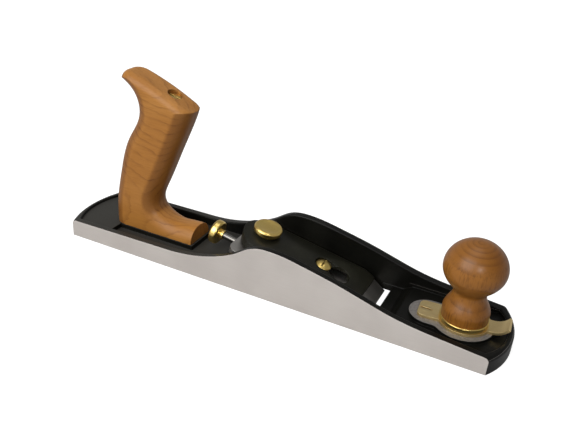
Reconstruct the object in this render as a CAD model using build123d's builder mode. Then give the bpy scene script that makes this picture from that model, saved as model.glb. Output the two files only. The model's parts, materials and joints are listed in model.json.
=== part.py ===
from build123d import *
from math import cos, pi, radians, sin, tan
import os

os.makedirs("parts", exist_ok=True)

# Low-angle jack plane, 14 in long, for a 2 in iron bedded at twelve degrees with its bevel up.
# The frame: X runs from heel to toe, Z is up from the sole, and the origin is the middle of the sole.
# Sizes are millimetres. A "station" is a distance up the bed from the line where bed meets sole.

# Body casting
heel_sag = 7.3
toe_sag = 10.3
heel_height = 13.4
waist_height = 15.0
crest_height = 40.8
toe_height = 11.4
cheek_wall = 5.5
heel_rim = 4.0
toe_rim = 4.2
heel_floor = 11.5
deck_floor = 8.0
front_deck = 9.0
rim_round = 2.8
inner_round = 1.1
overrun = 5.0

# Places along the length, measured from the toe, then the room kept behind the wheel and the tote
mouth_setback = 98.3
crest_setback = 171.3
waist_setback = 255.8
knob_setback = 34.8
wheel_room = 10.8
heel_land = 32.0

# Bed, mouth and sliding toe plate
bed_angle = 12.0
bed_length = 111.0
bed_lip = 3.5
mouth_gap = 5.0
toe_plate_lap = 2.1
toe_plate_lead = 13.2
toe_plate_thickness = 5.0
throat_wall = 8.6
throat_slope = 6.0
toe_open_room = 1.6
throat_relief = 1.0
plate_lip = 4.0

# Running clearances
slide_clearance = 0.05
bore_clearance = 0.05
side_clearance = 0.1
cam_clearance = 0.15
stud_room = 0.3

# Blade
blade_width = 50.8
blade_side_room = 2.6
blade_thickness = 4.8
blade_length = 113.0
blade_bevel = 25.0
blade_setback = 0.3
blade_corner = 7.0
blade_slot_width = 13.2
blade_slot_length = 19.0

# Depth and lateral adjuster
spindle_depth = 5.8
spindle_radius = 2.5
swivel_station = 107.9
swivel_radius = 5.5
swivel_journal_radius = 4.0
swivel_journal_length = 5.6
shoulder_radius = 4.0
shoulder_length = 2.4
collar_length = 2.0
carrier_pin_station = 84.0
carrier_pin_radius = 3.0
carrier_width = 11.0
carrier_nose = 4.0
carrier_length = 17.5
carrier_front_station = 80.0
carrier_drop = 4.2
spindle_end_station = 89.0
channel_width = 15.0
channel_end_station = 73.0
channel_room = 0.6
channel_round = 6.0
depth_wheel_station = 134.8
depth_wheel_radius = 9.5
depth_wheel_width = 6.4
depth_wheel_hub_radius = 3.6
depth_wheel_hub_length = 3.0
swivel_top_gap = 0.5
carrier_top_gap = 0.4
carrier_bore_end = 86.3
carrier_pin_root = 8.0
pin_top_gap = 0.5
wheel_rim_round = 2.0

# Lever cap, its wheel and its screw
cap_front_station = 11.0
cap_inset = 0.4
cap_rear_width = 38.0
cap_rear_station = 113.0
cap_shoulder_station = 24.0
cap_full_station = 58.0
cap_height = 10.0
cap_nose_height = 1.6
cap_shoulder_height = 5.6
cap_wall = 5.0
cap_toe_land = 4.0
cap_crown_radius = 62.0
cap_skirt_gap = 0.6
cap_pocket_width = 26.0
cap_pocket_front = 28.0
cap_pocket_rear = 84.0
seat_slot_width = 13.4
cap_screw_station = 46.2
cap_screw_radius = 3.5
cap_screw_head_radius = 6.1
cap_screw_head_height = 3.2
screw_head_edge = 0.8
screw_dome_shoulder = 2.5
cap_screw_depth = 7.0
keyhole_radius = 8.0
keyhole_slot_width = 8.4
keyhole_travel = 13.8
screw_seat_depth = 2.5
cap_wheel_station = 95.2
cap_wheel_radius = 10.8
cap_wheel_height = 5.6
cap_wheel_rim = 1.8
cap_wheel_dish = 0.9
cap_wheel_dish_radius = 8.1
cap_wheel_foot = 1.6
shank_seat = 3.0
cap_wheel_gap = 0.6
cap_wheel_shank_radius = 3.0

# Front knob and mouth lever
stud_radius = 4.0
stud_height = 40.0
stud_chamfer = 0.8
stud_recess = 0.6
pad_height = 11.5
pad_radius = 21.4
pad_lobe_width = 29.0
pad_lobe_setback = 73.0
pad_waist_round = 6.0
pivot_setback = 60.8
pivot_radius = 4.0
pivot_thread_radius = 2.5
pivot_thread_length = 4.6
lever_thickness = 2.0
lever_ring_radius = 18.6
lever_arm_width = 19.0
lever_arm_tail = 5.6
lever_arm_round = 4.0
lever_tab_width = 14.5
lever_tab_flat = 45.5
tab_bend_radius = 12.0
tab_curl_angle = 50.0
tab_lip_length = 1.8
lever_rest_angle = 4.0
lever_close_angle = 12.0
lever_open_angle = 3.0
mouth_close_travel = 3.0
ferrule_radius = 17.0
ferrule_height = 3.8
ferrule_lip = 0.8
ferrule_floor = 1.5
ferrule_round = 0.6
knob_base_radius = 16.2
knob_base_height = 6.3
knob_neck_radius = 10.9
knob_neck_height = 36.0
knob_ball_radius = 21.3
knob_ball_height = 56.0
knob_top_height = 75.4
insert_radius = 6.0
insert_room = 2.0

# Tote with its bolt, nut and dowel
tote_width = 27.0
tote_height = 128.5
tote_base_length = 74.3
tote_foot_height = 12.2
tote_round = 11.8
tote_edge = 7.0
horn_round = 11.0
nose_round = 12.0
tote_pad_width = 29.0
tote_pad_margin = 8.0
tote_pad_lead = 2.0
tote_pad_draft = 8.0
tote_bolt_radius = 3.0
tote_bolt_lean = 15.0
tote_bolt_setback = 21.0
tote_nut_radius = 5.6
tote_nut_length = 12.0
tote_nut_share = 0.882
tote_nut_wall = 2.5
bolt_room = 0.5
tote_dowel_radius = 2.5
tote_dowel_setback = 60.0
dowel_length = 9.0
bolt_thread_depth = 7.0

# Screwdriver slots
slot_width = 1.4
slot_depth = 1.3

wheel_rear = depth_wheel_station + depth_wheel_width / 2
wheel_dip = spindle_depth + depth_wheel_radius
wheel_reach = wheel_rear * cos(radians(bed_angle)) + wheel_dip * sin(radians(bed_angle))
body_length = mouth_setback + wheel_reach + wheel_room + tote_base_length + heel_land
body_width = blade_width + 2 * (blade_side_room + cheek_wall)
toe_plate_width = blade_width + 2 * toe_plate_lap
cap_front_width = blade_width - 2 * cap_inset
half_width = body_width / 2
inner_half = half_width - cheek_wall
heel_x = -body_length / 2
toe_x = body_length / 2
heel_corner_x = heel_x + heel_sag
toe_corner_x = toe_x - toe_sag
mouth_x = toe_x - mouth_setback
crest_x = toe_x - crest_setback
waist_x = toe_x - waist_setback
stud_x = toe_x - knob_setback
pivot_x = toe_x - pivot_setback
tote_x = heel_x + heel_land
tote_nut_top = tote_nut_share * tote_height
well_above = 2 * crest_height
STANDING = (Align.CENTER, Align.CENTER, Align.MIN)
SLOT_ALIGN = (Align.CENTER, Align.CENTER, Align.MAX)

# The bed's own frame: local x points forward and down the slope, local z is square to the bed.
forward = Vector(cos(radians(bed_angle)), 0, -sin(radians(bed_angle)))
square_up = Vector(sin(radians(bed_angle)), 0, cos(radians(bed_angle)))
across = Vector(0, -1, 0)
bed = Plane(origin=(mouth_x, 0, 0), x_dir=forward, z_dir=square_up)
bed_side = Plane(origin=(mouth_x, 0, 0), x_dir=forward, z_dir=across)


def on_bed(station, height=0.0):
    """A point on the centre line, by its distance up the bed and its height above the bed."""
    return bed.from_local_coords((-station, 0, height))


def turning(station):
    """The half-section plane of a turned piece that stands square on the bed."""
    return Plane(origin=on_bed(station), x_dir=forward, z_dir=across)


def standing(x):
    """The half-section plane of a turned piece that stands upright on the body."""
    return Plane(origin=(x, 0, 0), x_dir=(1, 0, 0), z_dir=across)


def along_bed(station, height):
    """A plane square to the spindle, facing forward."""
    return Plane(origin=on_bed(station, height), x_dir=(0, 1, 0), z_dir=forward)


blade_top = slide_clearance + blade_thickness
cap_bottom = blade_top + slide_clearance
cap_top = cap_bottom + cap_height
bed_end_x = mouth_x - bed_lip
bed_rear = on_bed(bed_length)
cavity_top = toe_plate_thickness + slide_clearance
plate_rear_x = mouth_x - blade_setback + mouth_gap
plate_front_x = stud_x + toe_plate_lead
cavity_front_x = plate_front_x + toe_open_room
wall_foot_x = plate_rear_x + throat_wall
wall_head_x = wall_foot_x + throat_slope
channel_depth = spindle_depth + carrier_drop + channel_room
lever_bottom = pad_height + slide_clearance
lever_top = lever_bottom + lever_thickness
ferrule_bottom = lever_top + slide_clearance
cam_rate = mouth_close_travel / radians(lever_close_angle)
toe_open_travel = cam_rate * radians(lever_open_angle)
stud_hole_radius = stud_radius + stud_room
tote_dowel_x = tote_x + tote_dowel_setback
tote_pad_length = tote_base_length - tote_pad_margin + tote_pad_lead
lean = Vector(sin(radians(tote_bolt_lean)), 0, cos(radians(tote_bolt_lean)))
tote_bolt_plane = Plane(origin=(tote_x + tote_bolt_setback, 0, heel_floor), x_dir=(0, 1, 0), z_dir=lean)
lever_line = Vector(cos(radians(lever_rest_angle)), sin(radians(lever_rest_angle)), 0)
lever_plan = Plane(origin=(pivot_x, 0, lever_bottom), x_dir=lever_line, z_dir=(0, 0, 1))
lever_across = lever_line.cross(Vector(0, 0, 1))
lever_side = Plane(origin=(pivot_x, 0, lever_bottom), x_dir=lever_line, z_dir=lever_across)
screw_seat = cap_top - screw_seat_depth

waist = (waist_x, waist_height)
crest = (crest_x, crest_height)
toe = (toe_x, toe_height)


def between(start, end, along, up):
    """A point of the side outline, by its share of the way along and of the way up from start to end."""
    return (start[0] + along * (end[0] - start[0]), start[1] + up * (end[1] - start[1]))


# Body casting: a plan outline cut to the humped side outline, then hollowed between the cheeks.
with BuildPart() as hollow:
    with BuildSketch(Plane.XZ):
        with BuildLine():
            Polyline(
                (heel_x, heel_floor),
                (tote_x + tote_pad_margin, heel_floor),
                (tote_x + tote_pad_margin, deck_floor),
                (bed_rear.X, deck_floor),
                (bed_rear.X, bed_rear.Z),
                (bed_end_x, bed_lip * tan(radians(bed_angle))),
                (bed_end_x, cavity_top),
                (wall_foot_x, cavity_top),
                (wall_head_x, front_deck),
                (toe_x, front_deck),
                (toe_x, well_above),
                (heel_x, well_above),
                close=True,
            )
        make_face()
    extrude(amount=inner_half, both=True)
    with BuildSketch():
        with BuildLine():
            back = ThreePointArc(
                (heel_corner_x + heel_rim, -inner_half),
                (heel_x + heel_rim, 0),
                (heel_corner_x + heel_rim, inner_half),
            )
            front = ThreePointArc(
                (toe_corner_x - toe_rim, inner_half),
                (toe_x - toe_rim, 0),
                (toe_corner_x - toe_rim, -inner_half),
            )
            Line(back @ 1, front @ 0)
            Line(front @ 1, back @ 0)
        make_face()
    extrude(amount=well_above, mode=Mode.INTERSECT)

with BuildPart() as casting:
    with BuildSketch():
        with BuildLine():
            heel_arc = ThreePointArc((heel_corner_x, -half_width), (heel_x, 0), (heel_corner_x, half_width))
            toe_arc = ThreePointArc((toe_corner_x, half_width), (toe_x, 0), (toe_corner_x, -half_width))
            Line(heel_arc @ 1, toe_arc @ 0)
            Line(toe_arc @ 1, heel_arc @ 0)
        make_face()
    extrude(amount=crest_height)
    with BuildSketch(Plane.XZ.offset(-half_width)):
        with BuildLine():
            tail = Line((heel_x - overrun, heel_height), waist)
            rise = Spline(
                waist,
                between(waist, crest, 0.444, 0.233),
                between(waist, crest, 0.71, 0.628),
                crest,
                tangents=(tail % 1, (1, 0)),
            )
            nose = Line(between(crest, toe, 0.811, 0.885), (toe_x + overrun, toe_height))
            fall = Spline(
                crest,
                between(crest, toe, 0.169, 0.133),
                between(crest, toe, 0.342, 0.361),
                between(crest, toe, 0.528, 0.662),
                nose @ 0,
                tangents=((1, 0), nose % 0),
            )
            Polyline(nose @ 1, (toe_x + overrun, 0), (heel_x - overrun, 0), tail @ 0)
        make_face()
    extrude(amount=body_width, mode=Mode.INTERSECT)
    add(hollow.part, mode=Mode.SUBTRACT)

    # Rounded edges: all round the top of the hollow, then the tops of heel and toe
    rim = casting.edges().filter_by(lambda edge: edge.bounding_box().min.Z > heel_floor)
    rim = rim.filter_by(Axis.Y, reverse=True)
    rim = rim.filter_by(lambda edge: abs((edge @ 0.5).Y) <= inner_half + 0.01)
    inner_rim = rim.filter_by(
        lambda edge: heel_x + heel_rim - 0.01 < (edge @ 0.5).X < toe_x - toe_rim + 0.01
    )
    fillet(inner_rim, inner_round)
    arcs = casting.edges().filter_by(lambda edge: edge.bounding_box().size.Y > body_width - rim_round)
    fillet(arcs.filter_by(lambda edge: edge.bounding_box().min.Z > 0), rim_round)

    # Raised pads: one under the tote, one machined pad under the front knob and lever
    with BuildSketch(Plane.XY.offset(deck_floor)):
        with Locations((tote_x + tote_pad_margin, 0)):
            Rectangle(tote_pad_length, tote_pad_width, align=(Align.MIN, Align.CENTER))
    extrude(amount=heel_floor - deck_floor, taper=tote_pad_draft)
    with BuildSketch(Plane.XY.offset(front_deck)) as knob_pad:
        with Locations((stud_x, 0)):
            Circle(pad_radius)
        with Locations((toe_x - pad_lobe_setback + pad_lobe_width / 2, 0)):
            Circle(pad_lobe_width / 2)
            Rectangle(stud_x - toe_x + pad_lobe_setback, pad_lobe_width, align=(Align.MIN, Align.CENTER))
        waist = knob_pad.vertices().filter_by(lambda v: abs(abs(v.Y) - pad_lobe_width / 2) < 0.01)
        fillet(waist.group_by(Axis.X)[-1], pad_waist_round)
    extrude(amount=pad_height - front_deck)

    # Cavity under the front deck for the sliding toe plate, open to the mouth
    with BuildSketch():
        with Locations((bed_end_x, 0)):
            Rectangle(cavity_front_x - bed_end_x, toe_plate_width, align=(Align.MIN, Align.CENTER))
    extrude(amount=cavity_top, mode=Mode.SUBTRACT)
    with BuildSketch():
        with Locations((stud_x + (toe_open_travel - mouth_close_travel) / 2, 0)):
            SlotOverall(toe_open_travel + mouth_close_travel + 2 * stud_hole_radius, 2 * stud_hole_radius)
    extrude(amount=well_above, mode=Mode.SUBTRACT)
    with Locations(Plane((pivot_x, 0, pad_height))):
        Hole(pivot_thread_radius, depth=pivot_thread_length)

    # Holes square to the bed, and the adjuster's channel in it
    with Locations(Plane(on_bed(cap_screw_station), x_dir=forward, z_dir=square_up)):
        Hole(cap_screw_radius, depth=cap_screw_depth)
    with BuildSketch(bed):
        with Locations((-channel_end_station, 0)):
            Rectangle(bed_length, channel_width, align=(Align.MAX, Align.CENTER))
    extrude(amount=-channel_depth, mode=Mode.SUBTRACT)
    channel_corners = casting.edges().filter_by(Axis(on_bed(0), square_up)).filter_by(
        lambda edge: abs(bed.to_local_coords(edge.center()).X + channel_end_station) < 0.01
    )
    fillet(channel_corners, channel_round)
    with Locations(Plane(on_bed(swivel_station, -channel_depth), x_dir=forward, z_dir=square_up)):
        Hole(swivel_journal_radius + bore_clearance, depth=swivel_journal_length + slide_clearance)

    # Holes for the tote's bolt and dowel
    with Locations(tote_bolt_plane.offset(-bolt_thread_depth)):
        Cylinder(tote_bolt_radius, tote_nut_top, align=STANDING, mode=Mode.SUBTRACT)
    with Locations(Plane((tote_dowel_x, 0, heel_floor))):
        Hole(tote_dowel_radius, depth=dowel_length / 2)
casting.part.label = "body_casting"
export_step(casting.part, "parts/body_casting.step")

# Toe plate: slides fore and aft in the sole to close the mouth, its rear edge relieved for shavings.
with BuildPart() as toe_plate:
    with BuildSketch(Plane.XZ):
        with BuildLine():
            Polyline(
                (plate_rear_x, 0),
                (plate_front_x, 0),
                (plate_front_x, toe_plate_thickness),
                (plate_rear_x + throat_relief, toe_plate_thickness),
                (plate_rear_x, plate_lip),
                close=True,
            )
        make_face()
    extrude(amount=toe_plate_width / 2 - side_clearance, both=True)
    with Locations(Plane((stud_x, 0, toe_plate_thickness))):
        Hole(stud_radius)
toe_plate.part.label = "toe_plate"
export_step(toe_plate.part, "parts/toe_plate.step")

with BuildPart() as toe_stud:
    with Locations((stud_x, 0, stud_recess)):
        Cylinder(stud_radius, stud_height - stud_recess, align=(Align.CENTER, Align.CENTER, Align.MIN))
    chamfer(toe_stud.edges().group_by(Axis.Z)[-1], stud_chamfer)
toe_stud.part.label = "toe_stud"
export_step(toe_stud.part, "parts/toe_stud.step")

# Mouth lever: a flat brass lever that turns on its pivot screw. A curved cam slot in it carries the
# toe stud, so that turning the lever by its front tab draws the toe plate back and closes the mouth.
def cam_point(angle):
    """The stud's place in the lever, at rest, for one lever angle in degrees."""
    reach = stud_x - pivot_x + cam_rate * radians(angle)
    return (pivot_x + reach * cos(radians(angle)), -reach * sin(radians(angle)))


with BuildPart() as mouth_lever:
    with BuildSketch(lever_plan):
        with Locations((stud_x - pivot_x, 0)):
            Circle(lever_ring_radius)
        with BuildSketch(mode=Mode.PRIVATE) as arm:
            with Locations((-lever_arm_tail, 0)):
                Rectangle(stud_x - pivot_x, lever_arm_width, align=(Align.MIN, Align.CENTER))
            fillet(arm.vertices().group_by(Axis.X)[0], lever_arm_round)
        add(arm.sketch)
        with Locations((stud_x - pivot_x, 0)):
            Rectangle(lever_tab_flat - stud_x + pivot_x, lever_tab_width, align=(Align.MIN, Align.CENTER))
    extrude(amount=lever_thickness)
    with BuildSketch(lever_side):
        with BuildLine():
            under = JernArc((lever_tab_flat, 0), (1, 0), tab_bend_radius + lever_thickness, tab_curl_angle)
            under_lip = Line(under @ 1, under @ 1 + (under % 1) * tab_lip_length)
            over = JernArc((lever_tab_flat, lever_thickness), (1, 0), tab_bend_radius, tab_curl_angle)
            over_lip = Line(over @ 1, over @ 1 + (over % 1) * tab_lip_length)
            Line(under @ 0, over @ 0)
            Line(under_lip @ 1, over_lip @ 1)
        make_face()
    extrude(amount=lever_tab_width / 2, both=True)
    with BuildSketch(Plane.XY.offset(lever_bottom)):
        with BuildLine(mode=Mode.PRIVATE) as cam_path:
            ThreePointArc(
                cam_point(lever_open_angle),
                cam_point((lever_open_angle - lever_close_angle) / 2),
                cam_point(-lever_close_angle),
            )
        SlotArc(cam_path.line.edge(), 2 * (stud_radius + cam_clearance))
        with Locations((pivot_x, 0)):
            Circle(pivot_radius + bore_clearance)
    extrude(amount=lever_thickness, mode=Mode.SUBTRACT)
mouth_lever.part.label = "mouth_lever"
export_step(mouth_lever.part, "parts/mouth_lever.step")

with BuildPart() as lever_pivot_screw:
    with BuildSketch(standing(pivot_x)):
        with BuildLine():
            Polyline(
                (0, pad_height - pivot_thread_length),
                (pivot_thread_radius, pad_height - pivot_thread_length),
                (pivot_thread_radius, pad_height),
                (pivot_radius, pad_height),
                (pivot_radius, lever_top),
                (0, lever_top),
                close=True,
            )
        make_face()
    revolve(axis=Axis((pivot_x, 0, 0), (0, 0, 1)))
    with Locations((pivot_x, 0, lever_top)):
        Box(2 * pivot_radius, slot_width, slot_depth, align=SLOT_ALIGN, mode=Mode.SUBTRACT)
lever_pivot_screw.part.label = "lever_pivot_screw"
export_step(lever_pivot_screw.part, "parts/lever_pivot_screw.step")

# Front knob: a turned ball on a flared base, seated in a brass ferrule and threaded onto the toe stud.
knob_seat = ferrule_bottom + ferrule_floor
insert_top = stud_height + insert_room
stud_axis = Axis((stud_x, 0, 0), (0, 0, 1))
crown_rise = knob_top_height - knob_ball_height

with BuildPart() as knob_ferrule:
    with BuildSketch(standing(stud_x)):
        with BuildLine():
            Polyline(
                (stud_hole_radius, ferrule_bottom),
                (ferrule_radius, ferrule_bottom),
                (ferrule_radius, ferrule_bottom + ferrule_height),
                (knob_base_radius, ferrule_bottom + ferrule_height),
                (knob_base_radius, knob_seat),
                (stud_hole_radius, knob_seat),
                close=True,
            )
        make_face()
    revolve(axis=stud_axis)
    fillet(knob_ferrule.edges().filter_by(GeomType.CIRCLE).group_by(SortBy.RADIUS)[-1], ferrule_round)
knob_ferrule.part.label = "knob_ferrule"
export_step(knob_ferrule.part, "parts/knob_ferrule.step")

with BuildPart() as front_knob:
    with BuildSketch(standing(stud_x)):
        with BuildLine():
            base = Line((knob_base_radius, knob_seat), (knob_base_radius, knob_seat + knob_base_height))
            flare = Spline(
                base @ 1,
                (knob_neck_radius, knob_neck_height),
                (knob_ball_radius, knob_ball_height),
                tangents=((0, 1), (0, 1)),
            )
            crown = Spline(
                flare @ 1,
                (knob_ball_radius * sin(pi / 4), knob_ball_height + crown_rise * sin(pi / 4)),
                (0, knob_top_height),
                tangents=((0, 1), (-1, 0)),
            )
            Polyline(
                crown @ 1,
                (0, insert_top),
                (insert_radius, insert_top),
                (insert_radius, knob_seat),
                base @ 0,
            )
        make_face()
    revolve(axis=stud_axis)
front_knob.part.label = "front_knob"
export_step(front_knob.part, "parts/front_knob.step")

with BuildPart() as knob_insert:
    with Locations((stud_x, 0, knob_seat)):
        Cylinder(insert_radius, insert_top - knob_seat, align=STANDING)
        Cylinder(stud_radius + bore_clearance, insert_top - knob_seat, align=STANDING, mode=Mode.SUBTRACT)
knob_insert.part.label = "knob_insert"
export_step(knob_insert.part, "parts/knob_insert.step")

# Blade: bevel up, with a slot that passes the cap screw's head and a round hole for the carrier pin.
with BuildPart() as blade:
    bevel_run = blade_thickness / tan(radians(blade_bevel))
    with BuildSketch(bed_side.offset(-blade_width / 2)):
        with BuildLine():
            Polyline(
                (-blade_setback, slide_clearance),
                (-blade_setback - bevel_run, blade_top),
                (-blade_setback - blade_length, blade_top),
                (-blade_setback - blade_length, slide_clearance),
                close=True,
            )
        make_face()
    extrude(amount=blade_width)
    rear_corners = blade.edges().filter_by(Axis(on_bed(0), square_up)).sort_by(Axis.X)[:2]
    fillet(rear_corners, blade_corner)
    with BuildSketch(bed):
        with Locations((-cap_screw_station, 0)):
            SlotOverall(blade_slot_length, blade_slot_width)
        with Locations((-carrier_pin_station, 0)):
            Circle(carrier_pin_radius + bore_clearance)
    extrude(amount=2 * blade_top, mode=Mode.SUBTRACT)
blade.part.label = "blade"
export_step(blade.part, "parts/blade.step")

# Adjuster: the spindle turns in a post that swivels in the bed. Its thread drives the carrier, whose
# pin moves the blade fore and aft, and swinging the wheel sideways skews the blade.
with BuildPart() as swivel:
    post_floor = slide_clearance - channel_depth
    with BuildSketch(turning(swivel_station)):
        with BuildLine():
            Polyline(
                (0, post_floor - swivel_journal_length),
                (swivel_journal_radius, post_floor - swivel_journal_length),
                (swivel_journal_radius, post_floor),
                (swivel_radius, post_floor),
                (swivel_radius, -swivel_top_gap),
                (0, -swivel_top_gap),
                close=True,
            )
        make_face()
    revolve(axis=Axis(on_bed(swivel_station), square_up))
    with Locations(along_bed(swivel_station, -spindle_depth)):
        Cylinder(spindle_radius + bore_clearance, 4 * swivel_radius, mode=Mode.SUBTRACT)
swivel.part.label = "adjuster_swivel"
export_step(swivel.part, "parts/adjuster_swivel.step")

shoulder_front = swivel_station + swivel_radius + slide_clearance

with BuildPart() as depth_spindle:
    with Locations(along_bed(wheel_rear, -spindle_depth)):
        Cylinder(spindle_radius, wheel_rear - spindle_end_station, align=STANDING)
    with Locations(along_bed(shoulder_front + shoulder_length, -spindle_depth)):
        Cylinder(shoulder_radius, shoulder_length, align=STANDING)
depth_spindle.part.label = "depth_spindle"
export_step(depth_spindle.part, "parts/depth_spindle.step")

with BuildPart() as spindle_collar:
    with Locations(along_bed(swivel_station - swivel_radius - slide_clearance, -spindle_depth)):
        Cylinder(shoulder_radius, collar_length, align=STANDING)
        Cylinder(spindle_radius, collar_length, align=STANDING, mode=Mode.SUBTRACT)
spindle_collar.part.label = "spindle_collar"
export_step(spindle_collar.part, "parts/spindle_collar.step")

with BuildPart() as depth_wheel:
    with Locations(along_bed(wheel_rear, -spindle_depth)):
        Cylinder(depth_wheel_radius, depth_wheel_width, align=STANDING)
    rims = depth_wheel.edges().filter_by(GeomType.CIRCLE)
    fillet(rims, wheel_rim_round)
    with Locations(along_bed(wheel_rear, -spindle_depth)):
        Cylinder(depth_wheel_hub_radius, depth_wheel_width + depth_wheel_hub_length, align=STANDING)
        Cylinder(spindle_radius, 2 * wheel_rear, align=STANDING, mode=Mode.SUBTRACT)
depth_wheel.part.label = "depth_wheel"
export_step(depth_wheel.part, "parts/depth_wheel.step")

with BuildPart() as carrier:
    with BuildSketch(bed.offset(-spindle_depth - carrier_drop)):
        with Locations((-carrier_front_station, 0)):
            Rectangle(carrier_length, carrier_width, align=(Align.MAX, Align.CENTER))
    extrude(amount=spindle_depth + carrier_drop - carrier_top_gap)
    nose = carrier.edges().filter_by(Axis(on_bed(0), square_up)).sort_by(Axis.X)[-2:]
    fillet(nose, carrier_nose)
    with Locations(along_bed(carrier_front_station + carrier_length, -spindle_depth)):
        Cylinder(
            spindle_radius + bore_clearance,
            carrier_front_station + carrier_length - carrier_bore_end,
            align=STANDING,
            mode=Mode.SUBTRACT,
        )
    with Locations(Plane(on_bed(carrier_pin_station, -carrier_pin_root), x_dir=forward, z_dir=square_up)):
        Cylinder(carrier_pin_radius, carrier_pin_root, align=STANDING, mode=Mode.SUBTRACT)
carrier.part.label = "blade_carrier"
export_step(carrier.part, "parts/blade_carrier.step")

with BuildPart() as carrier_pin:
    with Locations(Plane(on_bed(carrier_pin_station, -carrier_pin_root), x_dir=forward, z_dir=square_up)):
        Cylinder(carrier_pin_radius, carrier_pin_root + blade_top - pin_top_gap, align=STANDING)
    chamfer(carrier_pin.edges().filter_by(GeomType.CIRCLE).sort_by(Axis.Z)[-1], slot_width / 4)
carrier_pin.part.label = "carrier_pin"
export_step(carrier_pin.part, "parts/carrier_pin.step")

# Lever cap: a crowned casting with a keyhole, held by the cap screw and tightened by the cap wheel.
with BuildPart() as lever_cap:
    with BuildSketch(bed_side.offset(-cap_front_width / 2)):
        with BuildLine():
            slope = Spline(
                (-cap_front_station, cap_bottom + cap_nose_height),
                (-cap_shoulder_station, cap_bottom + cap_shoulder_height),
                (-cap_full_station, cap_top),
                tangents=((-1, 0.5), (-1, 0)),
            )
            Polyline(
                slope @ 1,
                (-cap_rear_station, cap_top),
                (-cap_rear_station, cap_bottom + cap_skirt_gap),
                (-cap_front_station - cap_toe_land, cap_bottom + cap_skirt_gap),
                (-cap_front_station - cap_toe_land, cap_bottom),
                (-cap_front_station, cap_bottom),
                slope @ 0,
            )
        make_face()
    extrude(amount=cap_front_width)
    with BuildSketch(bed):
        with BuildLine():
            rear = ThreePointArc(
                (-cap_wheel_station, cap_rear_width / 2),
                (-cap_rear_station, 0),
                (-cap_wheel_station, -cap_rear_width / 2),
            )
            Polyline(
                rear @ 1,
                (-cap_shoulder_station, -cap_front_width / 2),
                (-cap_front_station, -cap_front_width / 2),
                (-cap_front_station, cap_front_width / 2),
                (-cap_shoulder_station, cap_front_width / 2),
                rear @ 0,
            )
        make_face()
    extrude(amount=2 * cap_top, mode=Mode.INTERSECT)
    with BuildSketch(along_bed(cap_rear_station, cap_top - cap_crown_radius)):
        Circle(cap_crown_radius)
    extrude(amount=cap_rear_station, mode=Mode.INTERSECT)
    with BuildSketch(bed):
        with Locations((-cap_pocket_front, 0)):
            Rectangle(cap_pocket_rear - cap_pocket_front, cap_pocket_width, align=(Align.MAX, Align.CENTER))
    extrude(amount=cap_top - cap_wall, mode=Mode.SUBTRACT)
    with BuildSketch(bed):
        with Locations((-cap_screw_station + keyhole_travel, 0)):
            Circle(keyhole_radius)
        with Locations((-cap_screw_station + keyhole_travel / 2, 0)):
            SlotCenterToCenter(keyhole_travel, keyhole_slot_width)
        with Locations((-cap_wheel_station, 0)):
            Circle(cap_wheel_shank_radius + bore_clearance)
    extrude(amount=2 * cap_top, mode=Mode.SUBTRACT)
    with BuildSketch(bed.offset(screw_seat)):
        with Locations((-cap_screw_station + keyhole_travel / 2, 0)):
            SlotCenterToCenter(keyhole_travel, seat_slot_width)
    extrude(amount=cap_top, mode=Mode.SUBTRACT)
lever_cap.part.label = "lever_cap"
export_step(lever_cap.part, "parts/lever_cap.step")

with BuildPart() as cap_screw:
    head_bottom = screw_seat + slide_clearance
    with BuildSketch(turning(cap_screw_station)):
        with BuildLine():
            dome = ThreePointArc(
                (cap_screw_head_radius, head_bottom + screw_head_edge),
                (cap_screw_head_radius * 0.6, head_bottom + screw_dome_shoulder),
                (0, head_bottom + cap_screw_head_height),
            )
            Polyline(
                dome @ 1,
                (0, -cap_screw_depth),
                (cap_screw_radius, -cap_screw_depth),
                (cap_screw_radius, head_bottom),
                (cap_screw_head_radius, head_bottom),
                dome @ 0,
            )
        make_face()
    revolve(axis=Axis(on_bed(cap_screw_station), square_up))
    head_top = on_bed(cap_screw_station, head_bottom + cap_screw_head_height)
    with Locations(Plane(head_top, x_dir=forward, z_dir=square_up)):
        Box(slot_width, 2 * cap_screw_head_radius, slot_depth, align=SLOT_ALIGN, mode=Mode.SUBTRACT)
cap_screw.part.label = "cap_screw"
export_step(cap_screw.part, "parts/cap_screw.step")

# Cap wheel: a dished brass thumb wheel whose shank threads through the cap and bears on the blade.
wheel_bottom = cap_top + cap_wheel_gap
wheel_top = wheel_bottom + cap_wheel_height
wheel_axis = Axis(on_bed(cap_wheel_station), square_up)

with BuildPart() as cap_wheel:
    with BuildSketch(turning(cap_wheel_station)) as wheel_section:
        with BuildLine():
            dish = ThreePointArc(
                (0, wheel_top - cap_wheel_dish),
                (cap_wheel_dish_radius / 2, wheel_top - cap_wheel_dish * 0.75),
                (cap_wheel_dish_radius, wheel_top),
            )
            Polyline(
                dish @ 1,
                (cap_wheel_radius, wheel_top),
                (cap_wheel_radius, wheel_bottom + cap_wheel_foot),
                (cap_wheel_radius - cap_wheel_foot, wheel_bottom),
                (cap_wheel_shank_radius, wheel_bottom),
                (cap_wheel_shank_radius, wheel_bottom + shank_seat),
                (0, wheel_bottom + shank_seat),
                dish @ 0,
            )
        make_face()
        fillet(wheel_section.vertices().group_by(Axis.X)[-1], cap_wheel_rim)
    revolve(axis=wheel_axis)
cap_wheel.part.label = "cap_wheel"
export_step(cap_wheel.part, "parts/cap_wheel.step")

with BuildPart() as cap_wheel_screw:
    with Locations(Plane(on_bed(cap_wheel_station, cap_bottom), x_dir=forward, z_dir=square_up)):
        Cylinder(cap_wheel_shank_radius, wheel_bottom + shank_seat - cap_bottom, align=STANDING)
cap_wheel_screw.part.label = "cap_wheel_screw"
export_step(cap_wheel_screw.part, "parts/cap_wheel_screw.step")

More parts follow.
